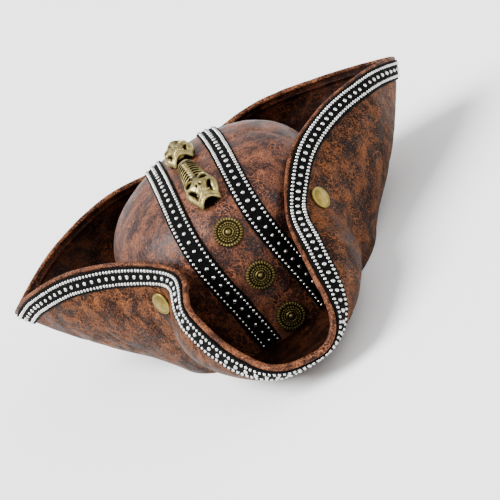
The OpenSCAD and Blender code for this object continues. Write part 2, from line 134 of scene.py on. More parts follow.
def ellipsoid(centre, radii, turn=0.0, steps=28):
    """An ellipsoid, turned about the upright through its centre."""
    a = np.arange(steps) * 2 * math.pi / steps
    b = np.linspace(-math.pi / 2, math.pi / 2, steps // 2 + 1)[1:-1]
    ring = np.stack([np.cos(a)[:, None] * np.cos(b), np.sin(a)[:, None] * np.cos(b),
                     np.broadcast_to(np.sin(b), (steps, len(b)))], -1).reshape(-1, 3)
    points = np.vstack([ring, [[0, 0, -1], [0, 0, 1]]]) * radii
    n = len(b)
    faces = [list(q) for q in grid_quads(steps, n)]
    for i in range(steps):
        j = (i + 1) % steps
        faces.append([j * n, i * n, steps * n])
        faces.append([i * n + n - 1, j * n + n - 1, steps * n + 1])
    c, s = math.cos(turn), math.sin(turn)
    return points @ np.array([[c, s, 0], [-s, c, 0], [0, 0, 1]]) + centre, faces


def tube(path, radius, steps=10):
    """A closed round tube along a path."""
    path = np.array(path, float)
    along = unit(np.gradient(path, axis=0))
    side = unit(np.cross(along, [0.13, 0.31, 0.94]))
    up = np.cross(along, side)
    a = np.arange(steps) * 2 * math.pi / steps
    r = np.broadcast_to(radius, len(path))[:, None, None]
    ring = path[:, None] + r * (np.cos(a)[:, None] * side[:, None] + np.sin(a)[:, None] * up[:, None])
    points = np.vstack([ring.reshape(-1, 3), path[:1], path[-1:]])
    faces = [list(q) for q in grid_quads(len(path), steps, False, True)]
    end, last = len(path) * steps, (len(path) - 1) * steps
    for i in range(steps):
        j = (i + 1) % steps
        faces.append([i, j, end])
        faces.append([last + j, last + i, end + 1])
    return points, faces


def join(shapes):
    """Several shapes as one list of points and one of faces."""
    points, faces, n = [], [], 0
    for p, f in shapes:
        points.append(p)
        faces += [[i + n for i in face] for face in f]
        n += len(p)
    return np.vstack(points), faces


# ------------------------------------------------------------------ materials

def rgb(r, g, b):
    """A screen colour, 0 to 255 in each channel, as linear light."""
    return tuple(((c / 255 + 0.055) / 1.055) ** 2.4 if c > 10 else c / 255 / 12.92
                 for c in (r, g, b)) + (1.0,)


def toned(colour, tone):
    """A colour made darker."""
    return tuple(c * tone for c in colour[:3]) + (1.0,)


class Shader:
    """A material around one Principled shader, with short names for the nodes used here."""

    def __init__(self, name, **sockets):
        self.material = bpy.data.materials.new(name)
        self.material.use_nodes = True
        self.tree = self.material.node_tree
        self.bsdf = self.tree.nodes["Principled BSDF"]
        self.set(self.bsdf, {k.replace("_", " "): v for k, v in sockets.items()})
        self.place = self.node("ShaderNodeAttribute", attribute_name="rest_place").outputs["Vector"]

    def set(self, node, values):
        for key, value in values.items():
            socket = node.inputs[key]
            if isinstance(value, bpy.types.NodeSocket):
                self.tree.links.new(value, socket)
            else:
                socket.default_value = value

    def node(self, kind, values=None, **props):
        n = self.tree.nodes.new(kind)
        for key, value in props.items():
            setattr(n, key, value)
        self.set(n, values or {})
        return n

    def noise(self, scale, detail=3.0, place=None, rough=0.55):
        values = {"Vector": place or self.place, "Scale": scale, "Detail": detail, "Roughness": rough}
        return self.node("ShaderNodeTexNoise", values).outputs["Fac"]

    def math(self, operation, a, b=0.0):
        return self.node("ShaderNodeMath", {0: a, 1: b}, operation=operation).outputs[0]

    def range(self, value, lo, hi, to_lo=0.0, to_hi=1.0):
        values = {"Value": value, "From Min": lo, "From Max": hi, "To Min": to_lo, "To Max": to_hi}
        return self.node("ShaderNodeMapRange", values, interpolation_type="SMOOTHSTEP").outputs[0]

    def mix(self, factor, a, b):
        n = self.node("ShaderNodeMix", {0: factor, 6: a, 7: b}, data_type="RGBA")
        return n.outputs[2]

    def ramp(self, value, stops):
        n = self.node("ShaderNodeValToRGB", {"Fac": value})
        elements = n.color_ramp.elements
        for i, (at, colour) in enumerate(stops):
            e = elements[i] if i < 2 else elements.new(at)
            e.position = at
            e.color = colour
        return n.outputs["Color"]

    def bump(self, height, distance, strength=1.0, under=None):
        values = {"Height": height, "Distance": distance, "Strength": strength}
        if under:
            values["Normal"] = under
        return self.node("ShaderNodeBump", values).outputs["Normal"]

    def finish(self, **sockets):
        self.set(self.bsdf, {k.replace("_", " "): v for k, v in sockets.items()})
        return self.material


# How much lighter than its leather the crackle is, against its own colour
CRACKLE_LIFT = 2.1


def leather(name, tone, stops, crackle, web, amount, rough, grain, shine):
    """Imitation leather: patches of colour, dark mottling, a web of lighter cracks, and grain.

    tone darkens all the colours. stops are the patches' colours. crackle is the colour of the cracks and
    specks, web how dark the mottling is, amount how strong the cracks are, and grain how strong the specks.
    """
    s = Shader(name)
    stops = [(at, toned(colour, tone)) for at, colour in stops]
    crackle = toned(crackle, min(1.0, CRACKLE_LIFT * tone))
    warp = s.node("ShaderNodeTexNoise", {"Vector": s.place, "Scale": 110.0, "Detail": 3.0}).outputs["Color"]
    shift = s.node("ShaderNodeVectorMath", {0: warp, 1: (0.5, 0.5, 0.5)}, operation="SUBTRACT").outputs[0]
    small = s.node("ShaderNodeVectorMath", {0: shift, 3: 0.012}, operation="SCALE")
    warped = s.node("ShaderNodeVectorMath", {0: s.place, 1: small.outputs[0]}, operation="ADD").outputs[0]
    lines = []
    for scale, width in ((820.0, 0.14), (330.0, 0.09), (110.0, 0.03)):
        cells = s.node("ShaderNodeTexVoronoi", {"Vector": warped, "Scale": scale}, feature="DISTANCE_TO_EDGE")
        lines.append(s.range(cells.outputs["Distance"], 0.0, width, 1.0, 0.0))
    patch = s.noise(44.0, 8.0, warped, 0.7)
    worn = s.range(s.noise(48.0, 4.0), 0.44, 0.66)
    fine = s.math("MULTIPLY", lines[0], s.range(s.noise(85.0, 4.0), 0.46, 0.64))
    middle = s.math("MULTIPLY", lines[1], s.range(s.noise(60.0, 3.0, warped), 0.47, 0.6))
    wide = s.math("MULTIPLY", lines[2], s.range(s.noise(40.0, 2.0), 0.5, 0.66))
    cracks = s.math("MAXIMUM", s.math("MAXIMUM", fine, middle), wide)
    mottle = s.range(s.noise(640.0, 4.0, warped, 0.75), 0.47, 0.64, 1.3 - 1.15 * web, 1.4)
    base = s.node("ShaderNodeVectorMath", {0: s.ramp(patch, stops), 3: mottle}, operation="SCALE").outputs[0]
    speckle = s.range(s.noise(900.0, 3.0, None, 0.7), 0.54, 0.64)
    base = s.mix(s.math("MULTIPLY", speckle, grain), base, crackle)
    base = s.mix(s.math("MULTIPLY", s.math("MULTIPLY", speckle, worn), web), base, crackle)
    base = s.mix(s.math("MULTIPLY", cracks, amount), base, crackle)
    low = s.bump(s.noise(160.0, 3.0), 0.0012, 0.35)
    skin = s.bump(s.noise(1100.0, 3.0), 0.00025, 0.5, low)
    cut = s.bump(s.math("SUBTRACT", 1.0, cracks), 0.0003, 0.5, skin)
    gloss = s.range(s.noise(120.0, 4.0), 0.35, 0.7, rough - 0.07, rough + 0.12)
    return s.finish(Base_Color=base, Roughness=gloss, Normal=cut, Specular_IOR_Level=shine)


def ribbon(name):
    """Black ribbon with a woven, slightly hairy face."""
    s = Shader(name, Specular_IOR_Level=0.06)
    weave = s.node("ShaderNodeTexVoronoi", {"Vector": s.place, "Scale": 1500.0}).outputs["Distance"]
    fuzz = s.noise(900.0, 4.0)
    colour = s.mix(s.range(fuzz, 0.35, 0.75), rgb(1, 1, 1), rgb(10, 10, 10))
    bumps = s.bump(weave, 0.0004, 0.7)
    return s.finish(Base_Color=colour, Roughness=0.82, Normal=s.bump(fuzz, 0.0003, 0.5, bumps))


def metal(name, bright, dark, rough, hollow_dark=True, pits=0.35):
    """Metal with darker stains. With hollow_dark its hollows are dark too: partly patina, partly painted
    shade.
    """
    s = Shader(name, Metallic=1.0)
    stain = s.range(s.noise(260.0, 5.0), 0.42, 0.7)
    if hollow_dark:
        hollow = s.node("ShaderNodeAttribute", attribute_name="hollow").outputs["Fac"]
        # The hollow attribute darkens the hollows, partly patina and partly painted shade; the noise stains
        # are the metal's own.
        darkening = s.math("MAXIMUM", hollow, s.math("MULTIPLY", stain, pits))
    else:
        darkening = s.math("MULTIPLY", stain, pits)
    colour = s.mix(darkening, bright, dark)
    gloss = s.range(darkening, 0.0, 1.0, rough, 0.75)
    return s.finish(Base_Color=colour, Roughness=gloss, Normal=s.bump(s.noise(900.0, 4.0), 0.0001, 0.35))


def cloth(name, dark, light, scale, rough=0.9):
    """Cloth or thread with fibres of two shades."""
    s = Shader(name, Specular_IOR_Level=0.2, Sheen_Weight=0.2)
    place = s.node("ShaderNodeTexCoord").outputs["Object"]
    fibre = s.noise(scale, 6.0, place, 0.7)
    weave = s.node("ShaderNodeTexVoronoi", {"Vector": place, "Scale": scale * 1.6}).outputs["Distance"]
    colour = s.mix(s.range(fibre, 0.35, 0.68), dark, light)
    bumps = s.bump(s.math("ADD", fibre, weave), 0.0004, 0.6)
    return s.finish(Base_Color=colour, Roughness=rough, Normal=bumps)


CROWN_LEATHER = leather(
    "crown_leather", 0.42,
    [(0.30, rgb(32, 20, 23)), (0.46, rgb(50, 32, 32)), (0.60, rgb(66, 41, 37)), (0.72, rgb(112, 64, 42))],
    rgb(168, 98, 62), 0.5, 0.8, 0.38, 0.4, 0.22)
BRIM_LEATHER = leather(
    "brim_leather", 0.135,
    [(0.34, rgb(32, 15, 18)), (0.46, rgb(54, 26, 22)), (0.57, rgb(84, 42, 28)), (0.70, rgb(150, 84, 44))],
    rgb(222, 134, 76), 0.95, 1.0, 0.5, 0.6, 0.06)
# The brim's inner face has darker colours than its outer face, partly as painted shade for the dark trough
# between the flaps and the crown.
INNER_LEATHER = leather(
    "inner_leather", 0.28,
    [(0.34, rgb(15, 7, 7)), (0.46, rgb(28, 12, 9)), (0.60, rgb(44, 19, 12)), (0.72, rgb(92, 44, 22))],
    rgb(110, 56, 28), 0.5, 0.7, 0.52, 0.3, 0.06)
RIM_LEATHER = leather(
    "rim_leather", 0.34,
    [(0.34, rgb(46, 24, 20)), (0.46, rgb(80, 44, 34)), (0.58, rgb(108, 62, 46)), (0.70, rgb(156, 96, 64))],
    rgb(186, 116, 76), 0.7, 0.8, 0.46, 0.45, 0.08)
RIBBON = ribbon("trim_black_ribbon")
SILVER = metal("silver_beads", rgb(216, 216, 213), rgb(112, 110, 108), 0.2, False, 0.3)
# The dark colours of these two brasses fill the hollows: partly patina, partly painted shade.
OLD_BRASS = metal("medallion_old_brass", rgb(108, 96, 54), rgb(50, 43, 23), 0.42)
BONE_BRASS = metal("skeleton_bone_brass", rgb(168, 152, 98), rgb(12, 9, 5), 0.36)
SNAP_BRASS = metal("snap_pale_brass", rgb(132, 114, 52), rgb(90, 76, 34), 0.32, False, 0.5)
FELT = cloth("pressed_felt", rgb(120, 112, 98), rgb(196, 188, 170), 900.0)
LINING = cloth("lining_weave", rgb(14, 13, 14), rgb(52, 50, 50), 1300.0, 0.6)
BAND = leather(
    "sweatband_leather", 0.7,
    [(0.34, rgb(36, 24, 20)), (0.48, rgb(48, 32, 26)), (0.60, rgb(60, 40, 31)), (0.72, rgb(70, 47, 36))],
    rgb(84, 58, 44), 0.1, 0.12, 0.4, 0.08, 0.4)
THREAD = cloth("dark_thread", rgb(20, 15, 13), rgb(66, 50, 42), 2400.0, 0.7)


# ------------------------------------------------------------------ crown

# Half width, half length and height of the crown, and how far each seam lies from its middle
CROWN_X, CROWN_Y, CROWN_H = 87.0, 102.0, 119.5
SEAM_X = 23.5


def crown_g(z):
    """How wide the crown is at height z, as a share of its width at the bottom."""
    u = np.clip(z / CROWN_H, 0, 1)
    return (1 - 0.03 * u) * np.sqrt(1 - u ** 6)


def crown_normal(p):
    """The way out from the crown at points of it."""
    z = p[..., 2]
    slope = (crown_g(z + 0.01) ** 2 - crown_g(z - 0.01) ** 2) / 0.02
    return unit(np.stack([p[..., 0] / CROWN_X ** 2, p[..., 1] / CROWN_Y ** 2, -slope / 2], -1))


def crown_relief(p):
    """How far the cloth stands off the plain crown: soft dents and a few creases."""
    dents = 0.55 * perlin(p, 42.0, 1) + 0.22 * perlin(p, 14.0, 2)
    creases = -0.45 * (1 - np.abs(perlin(p, 55.0, 3))) ** 14
    front = np.exp(-((p[..., 1] + 101) / 20) ** 2 - (p[..., 0] / 26) ** 2)
    fold = 0.5 * front * np.exp(-((p[..., 2] - 32 - 0.16 * p[..., 0]) / 1.3) ** 2)
    return (dents + creases + fold) * smooth(3, 16, p[..., 2])


def ring_heights(count):
    """Heights of the crown's rings, evenly spaced along the profile of a crown of middling width."""
    z = np.linspace(0, 1, 3000) ** 0.5 * CROWN_H
    way = np.concatenate([[0], np.cumsum(np.hypot(np.diff(95 * crown_g(z)), np.diff(z)))])
    return np.interp(np.linspace(0, way[-1], count + 1)[:-1], way, z)


RINGS = ring_heights(89)


def crown_grid(depth, bearings=300, relief=True):
    """Rows of points up the crown, one row for each bearing, at a depth inside its outer face."""
    a = np.arange(bearings) * 2 * math.pi / bearings
    g = crown_g(RINGS)
    p = np.stack([CROWN_X * g * np.sin(a)[:, None], -CROWN_Y * g * np.cos(a)[:, None],
                  np.broadcast_to(RINGS, (bearings, len(RINGS)))], -1)
    n = crown_normal(p)
    q = p - depth * n
    if relief:
        q = q + crown_relief(p)[..., None] * n
    q[:, 0, 2] = 0
    return q


def crown_foot(bearings):
    """Points round the foot of the crown's outer face, and the way in from each."""
    a = np.arange(bearings) * 2 * math.pi / bearings
    foot = np.stack([np.sin(a) * CROWN_X, -np.cos(a) * CROWN_Y, 0 * a], -1)
    return foot, -unit(foot / [CROWN_X ** 2, CROWN_Y ** 2, 1])


def crown_shell(outer, inner, top_outer, top_inner):
    """A closed shell between two grids, with a point at the top of each."""
    rows, cols = outer.shape[:2]
    tops = [[0, 0, top_outer], [0, 0, top_inner]]
    points = np.vstack([outer.reshape(-1, 3), inner.reshape(-1, 3), tops])
    n = rows * cols
    quads = grid_quads(rows, cols)
    faces = [list(q) for q in quads] + [list(q[::-1] + n) for q in quads]
    for r in range(rows):
        a, d = r * cols, (r + 1) % rows * cols
        faces.append([a + n, d + n, d, a])
        faces.append([a + cols - 1, d + cols - 1, 2 * n])
        faces.append([d + n + cols - 1, a + n + cols - 1, 2 * n + 1])
    return points, faces


# How deep each face lies inside the plain outer face of the crown
CLOTH_IN, LINING_OUT, LINING_IN = 0.8, 2.45, 3.0

top = CROWN_H + float(crown_relief(np.array([[0.0, 0.0, CROWN_H]]))[0])
points, faces = crown_shell(crown_grid(0), crown_grid(CLOTH_IN, relief=False), top, CROWN_H - CLOTH_IN)
add_mesh("crown_cloth", points, faces, CROWN_LEATHER, "hat_body",
         ("crown_centre_panel", "crown_left_panel", "crown_right_panel"))

# The lining has soft folds above the sweatband
inside = crown_grid(LINING_IN, 240, False)
folds = perlin(inside, 26.0, 8) * 0.5 * smooth(24, 40, inside[..., 2])
inside = inside + (folds - 0.1)[..., None] * crown_normal(inside) * 0.6
points, faces = crown_shell(crown_grid(LINING_OUT, 240, False), inside, CROWN_H - LINING_OUT,
                            CROWN_H - LINING_IN - 0.05)
add_mesh("crown_lining_cloth", points, faces, LINING, "hat_body", ("crown_lining",))

# The sweatband has rolled edges and a row of stitches. Its profile gives depths and heights.
BAND_PROFILE = (
    (3.05, 0.5), (3.2, 0.1), (3.7, 0.0), (4.1, 0.3), (4.35, 1.2), (4.2, 2.4), (4.25, 8), (4.4, 15),
    (4.25, 22), (4.15, 26.0), (4.0, 27.0), (4.15, 28.0), (4.3, 29.0), (4.05, 29.8), (3.6, 30.0),
    (3.2, 29.9), (3.12, 29.4))
STITCH_DEPTH, STITCH_Z, STITCHES = 4.05, 27.0, 140
foot, inward = crown_foot(300)
band = np.stack([foot * crown_g(np.array([z]))[0] + inward * d + [0, 0, z] for d, z in BAND_PROFILE], 1)
add_mesh("sweatband_strip", band.reshape(-1, 3), grid_quads(300, len(BAND_PROFILE), True, True)[:, ::-1],
         BAND, "hat_body", ("sweatband",))
foot, inward = crown_foot(STITCHES)
along = unit(np.cross(inward, [0, 0, 1.0]))
axes = np.stack([along, np.broadcast_to([0, 0, 1.0], along.shape), inward], 1)
points, faces = stamp(ellipsoid((0, 0, 0), (1.3, 0.32, 0.34), 0.12, 10),
                      foot + inward * STITCH_DEPTH + [0, 0, STITCH_Z], axes, np.ones((STITCHES, 3)))
add_mesh("sweatband_stitches", points, faces, THREAD, "hat_body")


# ------------------------------------------------------------------ lines over the crown

def crown_top(x):
    """The height of the crown at x, halfway along it."""
    z = np.linspace(0, CROWN_H, 4001)
    return np.interp(-np.abs(x) / CROWN_X, -crown_g(z), z)


def over_crown(x, t):
    """The line over the crown at x, t of the way from its front to its back."""
    z = crown_top(x) * np.sin(math.pi * t)
    y = CROWN_Y * np.sqrt(np.maximum(0, crown_g(z) ** 2 - (x / CROWN_X) ** 2))
    return np.stack([x + 0 * z, np.where(t < 0.5, -y, y), z], -1)


CENTRE_LINE = over_crown(0.0, np.linspace(0, 1, 2001))
CENTRE_WAY = np.concatenate([[0], np.cumsum(np.linalg.norm(np.diff(CENTRE_LINE, axis=0), axis=1))])


def on_centre_line(p, start):
    """Takes points laid out flat, x across, y along and z out, onto the crown's centre line."""
    way = start + p[:, 1]
    at = np.stack([np.interp(way, CENTRE_WAY, CENTRE_LINE[:, k]) for k in range(3)], -1)
    return at + crown_normal(at) * p[:, 2:] + p[:, :1] * [1.0, 0, 0]


# ------------------------------------------------------------------ medallions

# How far along the centre line the first medallion's middle is, and how far it is to the next
MEDALLION_START, MEDALLION_STEP = 14.0, 35.5
HOLE_Y = 7.2


def medallion():
    """A round casting: a rim of petals, two rings of beads, a raised ring, a boss and two sewing holes."""
    rings, steps, r_out = 64, 360, 10.25
    r = np.linspace(0.0, 1.0, rings)[1:] ** 0.9
    a = np.arange(steps) * 2 * math.pi / steps
    r, a = np.meshgrid(r, a)
    petals = np.abs(np.cos(15 * a)) ** 0.6
    edge = r_out - 0.9 * (1 - petals)
    rho = r * edge
    body = 1.5 * smooth(0, 0.5, edge - rho)
    petal = 0.75 * petals * smooth(7.6, 8.2, rho) * smooth(0, 0.9, edge - rho)
    beads = np.zeros_like(rho)
    for ring, count, size in ((6.3, 22, 0.8), (4.75, 22, 0.62)):
        turn = (a * count / (2 * math.pi)) % 1 - 0.5
        gap = np.hypot((turn * 2 * math.pi / count) * ring, rho - ring) / size
        beads = np.maximum(beads, 0.75 * np.sqrt(np.maximum(0, 1 - gap ** 2)))
    groove = -0.3 * np.exp(-((rho - 7.4) / 0.35) ** 2)
    ring = 0.95 * np.sqrt(np.maximum(0, 1 - ((rho - 3.35) / 0.55) ** 2))
    boss = 1.5 * np.sqrt(np.maximum(0, 1 - (rho / 2.0) ** 2))
    dish = 0.4 * smooth(4.2, 2.6, rho)
    height = body + petal + groove + np.maximum(np.maximum(beads, ring), boss) + dish
    # The metal darkens between the raised parts: partly patina, partly painted shade.
    hollow = 1 - smooth(0.2, 0.75, petal + np.maximum(np.maximum(beads, ring), boss))
    hollow *= 0.9 * smooth(0.3, 0.9, edge - rho) + 0.1
    # The sewing holes are sunk in and painted dark inside: painted shade.
    for side in (-1, 1):
        near = np.hypot(rho * np.cos(a), rho * np.sin(a) - side * HOLE_Y)
        height -= (height - 0.2) * (1 - smooth(0.55, 0.95, near))
        hollow = np.maximum(hollow, 1 - smooth(0.7, 1.1, near))
    grid = np.stack([rho * np.cos(a), rho * np.sin(a), height], -1)
    skirt = grid[:, -1:] * [1, 1, 0] + [0, 0, -0.1]
    grid = np.concatenate([grid, skirt], 1)[:, ::-1]
    hollow = np.concatenate([hollow, hollow[:, -1:]], 1)[:, ::-1]
    points = np.vstack([grid.reshape(-1, 3), [[0, 0, height[0, 0]]]])
    faces = [list(q) for q in grid_quads(steps, rings)]
    faces += [[i * rings + rings - 1, (i + 1) % steps * rings + rings - 1, steps * rings]
              for i in range(steps)]
    return points, faces, np.append(hollow.ravel(), 0)


points, faces, hollow = medallion()
for i, name in enumerate(("medallion_lower", "medallion_middle", "medallion_upper")):
    along = MEDALLION_START + MEDALLION_STEP * i
    centre = on_centre_line(np.array([[0, 0, 0.35]]), along)[0]
    out = crown_normal(on_centre_line(np.zeros((1, 3)), along))[0]
    back = np.cross(out, [1.0, 0, 0])
    placed = centre + points[:, :1] * [1.0, 0, 0] + points[:, 1:2] * back + points[:, 2:] * out
    add_mesh(name + "_relief", placed, faces, OLD_BRASS, "hat_body", (name,), hollow)

# Two twisted strands go down through each hole of a medallion
strands = []
for i in range(3):
    for side in (-1, 1):
        for phase in (0, math.pi):
            t = np.linspace(0, 1, 24)
            x = 0.24 * np.cos(9 * t + phase)
            y = side * HOLE_Y + 0.24 * np.sin(9 * t + phase) + side * 1.5 * smooth(0.5, 1, t)
            z = 0.2 + 2.1 * np.sin(math.pi * t * 0.82)
            p = np.stack([x, y, z], -1)
            strands.append(tube(on_centre_line(p, MEDALLION_START + MEDALLION_STEP * i), 0.26, 8))
points, faces = join(strands)
add_mesh("medallion_stitches", points, faces, THREAD, "hat_body", ("medallion_threads",))


# ------------------------------------------------------------------ skeletons

def remeshed(shapes, voxel):
    """The union of closed shapes, as one skin of small faces. Points are in millimetres."""
    points, faces = join(shapes)
    mesh = bpy.data.meshes.new("rough")
    mesh.from_pydata(points.tolist(), [], faces)
    o = bpy.data.objects.new("rough", mesh)
    bpy.context.scene.collection.objects.link(o)
    m = o.modifiers.new("skin", "REMESH")
    m.mode = "VOXEL"
    m.voxel_size = voxel
    result = o.evaluated_get(bpy.context.evaluated_depsgraph_get()).to_mesh()
    out = np.array([v.co for v in result.vertices], float)
    quads = [list(p.vertices) for p in result.polygons]
    bpy.data.objects.remove(o)
    bpy.data.meshes.remove(mesh)
    return out, quads


def dig(p, hollow, centre, radii, turn, depth):
    """Presses an oval hollow into the top of the shape and darkens it there: partly patina, partly painted
    shade.
    """
    c, s = math.cos(turn), math.sin(turn)
    x, y = p[:, 0] - centre[0], p[:, 1] - centre[1]
    d = np.hypot((c * x + s * y) / radii[0], (-s * x + c * y) / radii[1])
    share = np.sqrt(np.maximum(0, 1 - d ** 2)) * smooth(2.0, 4.0, p[:, 2])
    p[:, 2] -= depth * share
    return np.maximum(hollow, smooth(0.15, 0.6, share))


# Along a skeleton: its first rib, the step from rib to rib, how the ribs curve back, and the skull's end
RIB_START, RIB_PITCH, RIB_AHEAD, RIB_SWEEP = 29.4, 3.43, 0.9, 1.4
SKULL_END = 27.5
# Each ornament's node, how far along the centre line it starts, and how far it is moved sideways
SKELETONS = (("skeleton_front", 105.5, 2.4), ("skeleton_rear", 168.5, 3.6))
VOXEL = 0.3


def skeleton():
    """One casting, laid flat: a skull with an open mouth at y = 0, then a spine with ribs, then a ring."""
    # The skull, its brows and cheeks, the sides of its mouth, and the floors of the mouth and of the ribs.
    # The floors are
    # dark plates: painted shade inside the mouth, and under the ribs partly a dark backing, partly painted
    # shade.
    shapes = [
        ellipsoid((0, 17.5, 3.6), (11.3, 8.6, 6.6)), ellipsoid((0, 14, 4.2), (6.4, 8.4, 6.0)),
        ellipsoid((-5.2, 21, 6.2), (4.4, 3.6, 4.2)), ellipsoid((5.2, 21, 6.2), (4.4, 3.6, 4.2)),
        ellipsoid((-8.8, 12.5, 3.4), (2.6, 7.0, 4.2), 0.22),
        ellipsoid((8.8, 12.5, 3.4), (2.6, 7.0, 4.2), -0.22),
        ellipsoid((-7.2, 8.4, 2.4), (1.9, 4.4, 3.6), 0.1), ellipsoid((7.2, 8.4, 2.4), (1.9, 4.4, 3.6), -0.1),
        ellipsoid((0, 5.6, 0.7), (6.8, 4.0, 0.9)), ellipsoid((0, 41, 0.5), (7.4, 14.5, 0.8)),
    ]
    # The lips are two arches that lean back from the jaw's ends
    arch = np.linspace(-1.5, 1.5, 28)
    for r, width, height, front, back in ((1.2, 6.9, 6.0, 2.6, 5.2), (1.0, 7.6, 6.9, 4.6, 7.6)):
        shapes.append(tube([(width * math.sin(a), back - (back - front) * math.sin(a) ** 2,
                             0.8 + height * math.cos(a)) for a in arch], r))
    # A row of seven teeth above the lips
    for i in range(-3, 4):
        shapes.append(ellipsoid((1.5 * i, 10.2 - 0.1 * i * i, 9.2 - 0.22 * i * i), (0.7, 1.0, 0.8), steps=12))
    for i in range(8):
        y, w = RIB_START + RIB_PITCH * i, 9.0 - 0.4 * i
        for side in (-1, 1):
            a = np.linspace(0.0, 1.5, 16)
            path = np.stack([side * w * np.sin(a), y + RIB_AHEAD - RIB_SWEEP * np.sin(a) ** 2,
                             0.7 + 5.6 * np.cos(a)], -1)
            shapes.append(tube(path, 0.62 - 0.1 * np.linspace(0, 1, 16) ** 2))
        shapes.append(ellipsoid((0, y, 5.4), (1.7, 1.45, 1.7), steps=16))
    shapes.append(tube([(0, 24.0, 4.6), (0, 36, 4.7), (0, 48, 4.7), (0, 55.0, 4.4)], 1.15))
    # The last arch, and the ring behind it from four lengths of tube
    a = np.linspace(-1.3, 1.3, 16)
    shapes.append(tube(np.stack([6.2 * np.sin(a), 53.8 + 1.3 * np.cos(a), 0.6 + 4.6 * np.cos(a)], -1), 1.15))
    ring = np.linspace(0, 2 * math.pi, 41)[:-1]
    for k in range(0, 40, 10):
        part = ring[[(k + j) % 40 for j in range(12)]]
        path = np.stack([3.3 * np.cos(part), 56.2 + 3.3 * np.sin(part), 4.3 + 0 * part], -1)
        shapes.append(tube(path, 1.1))
    p, faces = remeshed(shapes, VOXEL)
    skull = p[:, 1] < SKULL_END
    # The casting darkens towards its foot on the cloth: partly patina, partly painted shade.
    hollow = np.where(skull, 1 - smooth(0.8, 3.2, p[:, 2]), 1 - smooth(1.5, 3.0, p[:, 2])) * 0.95
    # Eye sockets, hollow cheeks and nostrils, sunk in and darkened: partly patina, partly painted shade
    for side in (-1, 1):
        hollow = dig(p, hollow, (side * 5.3, 20.6), (3.3, 2.3), side * -0.45, 4.2)
        hollow = dig(p, hollow, (side * 6.4, 13.2), (1.5, 4.2), side * -0.5, 3.0)
        hollow = dig(p, hollow, (side * 1.3, 15.0), (0.8, 1.7), side * 0.2, 1.6)
    # Between the ribs the metal is painted dark, except on the spine: partly patina, partly painted shade
    off = p[:, 1] - RIB_START - RIB_AHEAD + RIB_SWEEP * (p[:, 0] / 7.6) ** 2
    off = (off + RIB_PITCH / 2) % RIB_PITCH - RIB_PITCH / 2
    stripe = smooth(0.3, 0.6, np.abs(off - 0.15)) * smooth(1.3, 2.0, np.abs(p[:, 0]))
    hollow = np.where((p[:, 1] > 28) & (p[:, 1] < 54.6), np.maximum(hollow, stripe), hollow)
    # The open mouth is painted fully dark inside: painted shade.
    mouth = (p[:, 1] < 9.5) & (np.abs(p[:, 0]) < 6.6) & (p[:, 2] < 4.6 - 0.25 * (9.5 - p[:, 1]))
    hollow = np.where(mouth, 1.0, hollow)
    p[:, 2] += 0.22 * perlin(p, 1.6, 5) * (skull & (hollow < 0.5))
    groove = 0.5 * smooth(0.1, -0.35, perlin(p, 2.2, 6)) * (hollow < 0.6)
    return p, faces, np.clip(np.maximum(hollow, groove), 0, 1)


bones, bone_faces, bone_hollow = skeleton()
for name, start, x in SKELETONS:
    flat = bones + [x, 0, 0.5]
    flat[:, 2] = np.maximum(flat[:, 2], 0.35)
    add_mesh(name + "_casting", on_centre_line(flat, start), bone_faces, BONE_BRASS, "hat_body",
             (name,), bone_hollow)

# A pair of thread bars over the neck of each skeleton, and another over its tail
strands = []
for name, start, x in SKELETONS:
    for along in (27.2, 51.3):
        for shift in (-0.35, 0.35):
            a = np.linspace(-1.7, 1.7, 20)
            p = np.stack([x + 2.9 * np.sin(a), along + shift + 0.1 * np.sin(9 * a),
                          4.9 + 2.75 * np.cos(a)], -1)
            strands.append(tube(on_centre_line(p, start), 0.34, 8))
points, faces = join(strands)
add_mesh("skeleton_stitches", points, faces, THREAD, "hat_body", ("skeleton_threads",))


# ------------------------------------------------------------------ brim

# The brim's edge, round the hat from its front corner. Each row holds the edge's x, y and z, how steeply
# the brim rises from the crown there, and the bearing of the brim's foot, in degrees.
EDGE = np.array([
    [3, -201, 20, 0, 1], [21, -192, 32, 8, 18], [28, -152, 56, 36, 33], [37, -102, 72, 75, 45],
    [64, -60, 91, 73, 61], [101, -14, 91, 50, 75], [146, 30, 81, 27, 90], [174, 75, 64, 20, 108],
    [125, 102, 77, 27, 130], [69, 116, 88, 34, 154], [2, 118, 87, 38, 180], [-62, 119, 98, 39, 206],
    [-120, 105, 94, 36, 229], [-165, 73, 82, 31, 249], [-145, 30, 97, 38, 264], [-108, -12, 104, 57, 278],
    [-68, -53, 96, 72, 293], [-41, -99, 83, 78, 311], [-47, -148, 70, 37, 325], [-31, -189, 31, 4, 343],
], float)
EDGE_N = len(EDGE)
# How far out each section's middle point is pulled, half the brim's thickness, and its gap to the crown
REACH, HALF_T, FOOT_GAP = 68.0, 1.6, 0.3
# Each press stud's place: its share of the way round the brim, and its share of the way up a section
SNAPS = {"right": (3.2 / EDGE_N, 0.61), "left": (16.8 / EDGE_N, 0.63)}


def edge_at(u):
    """The edge's values at shares u of the way round, on a smooth curve through all its rows."""
    k = np.floor(u * EDGE_N).astype(int)
    f = (u * EDGE_N - k)[:, None]

    def row(i):
        r = EDGE[i % EDGE_N].copy()
        r[:, 4] += 360 * (i // EDGE_N)
        return r
    return (row(k - 1) * (-0.5 * f + f ** 2 - 0.5 * f ** 3)
            + row(k) * (1 - 2.5 * f ** 2 + 1.5 * f ** 3)
            + row(k + 1) * (0.5 * f + 2 * f ** 2 - 1.5 * f ** 3)
            + row(k + 2) * (-0.5 * f ** 2 + 0.5 * f ** 3))


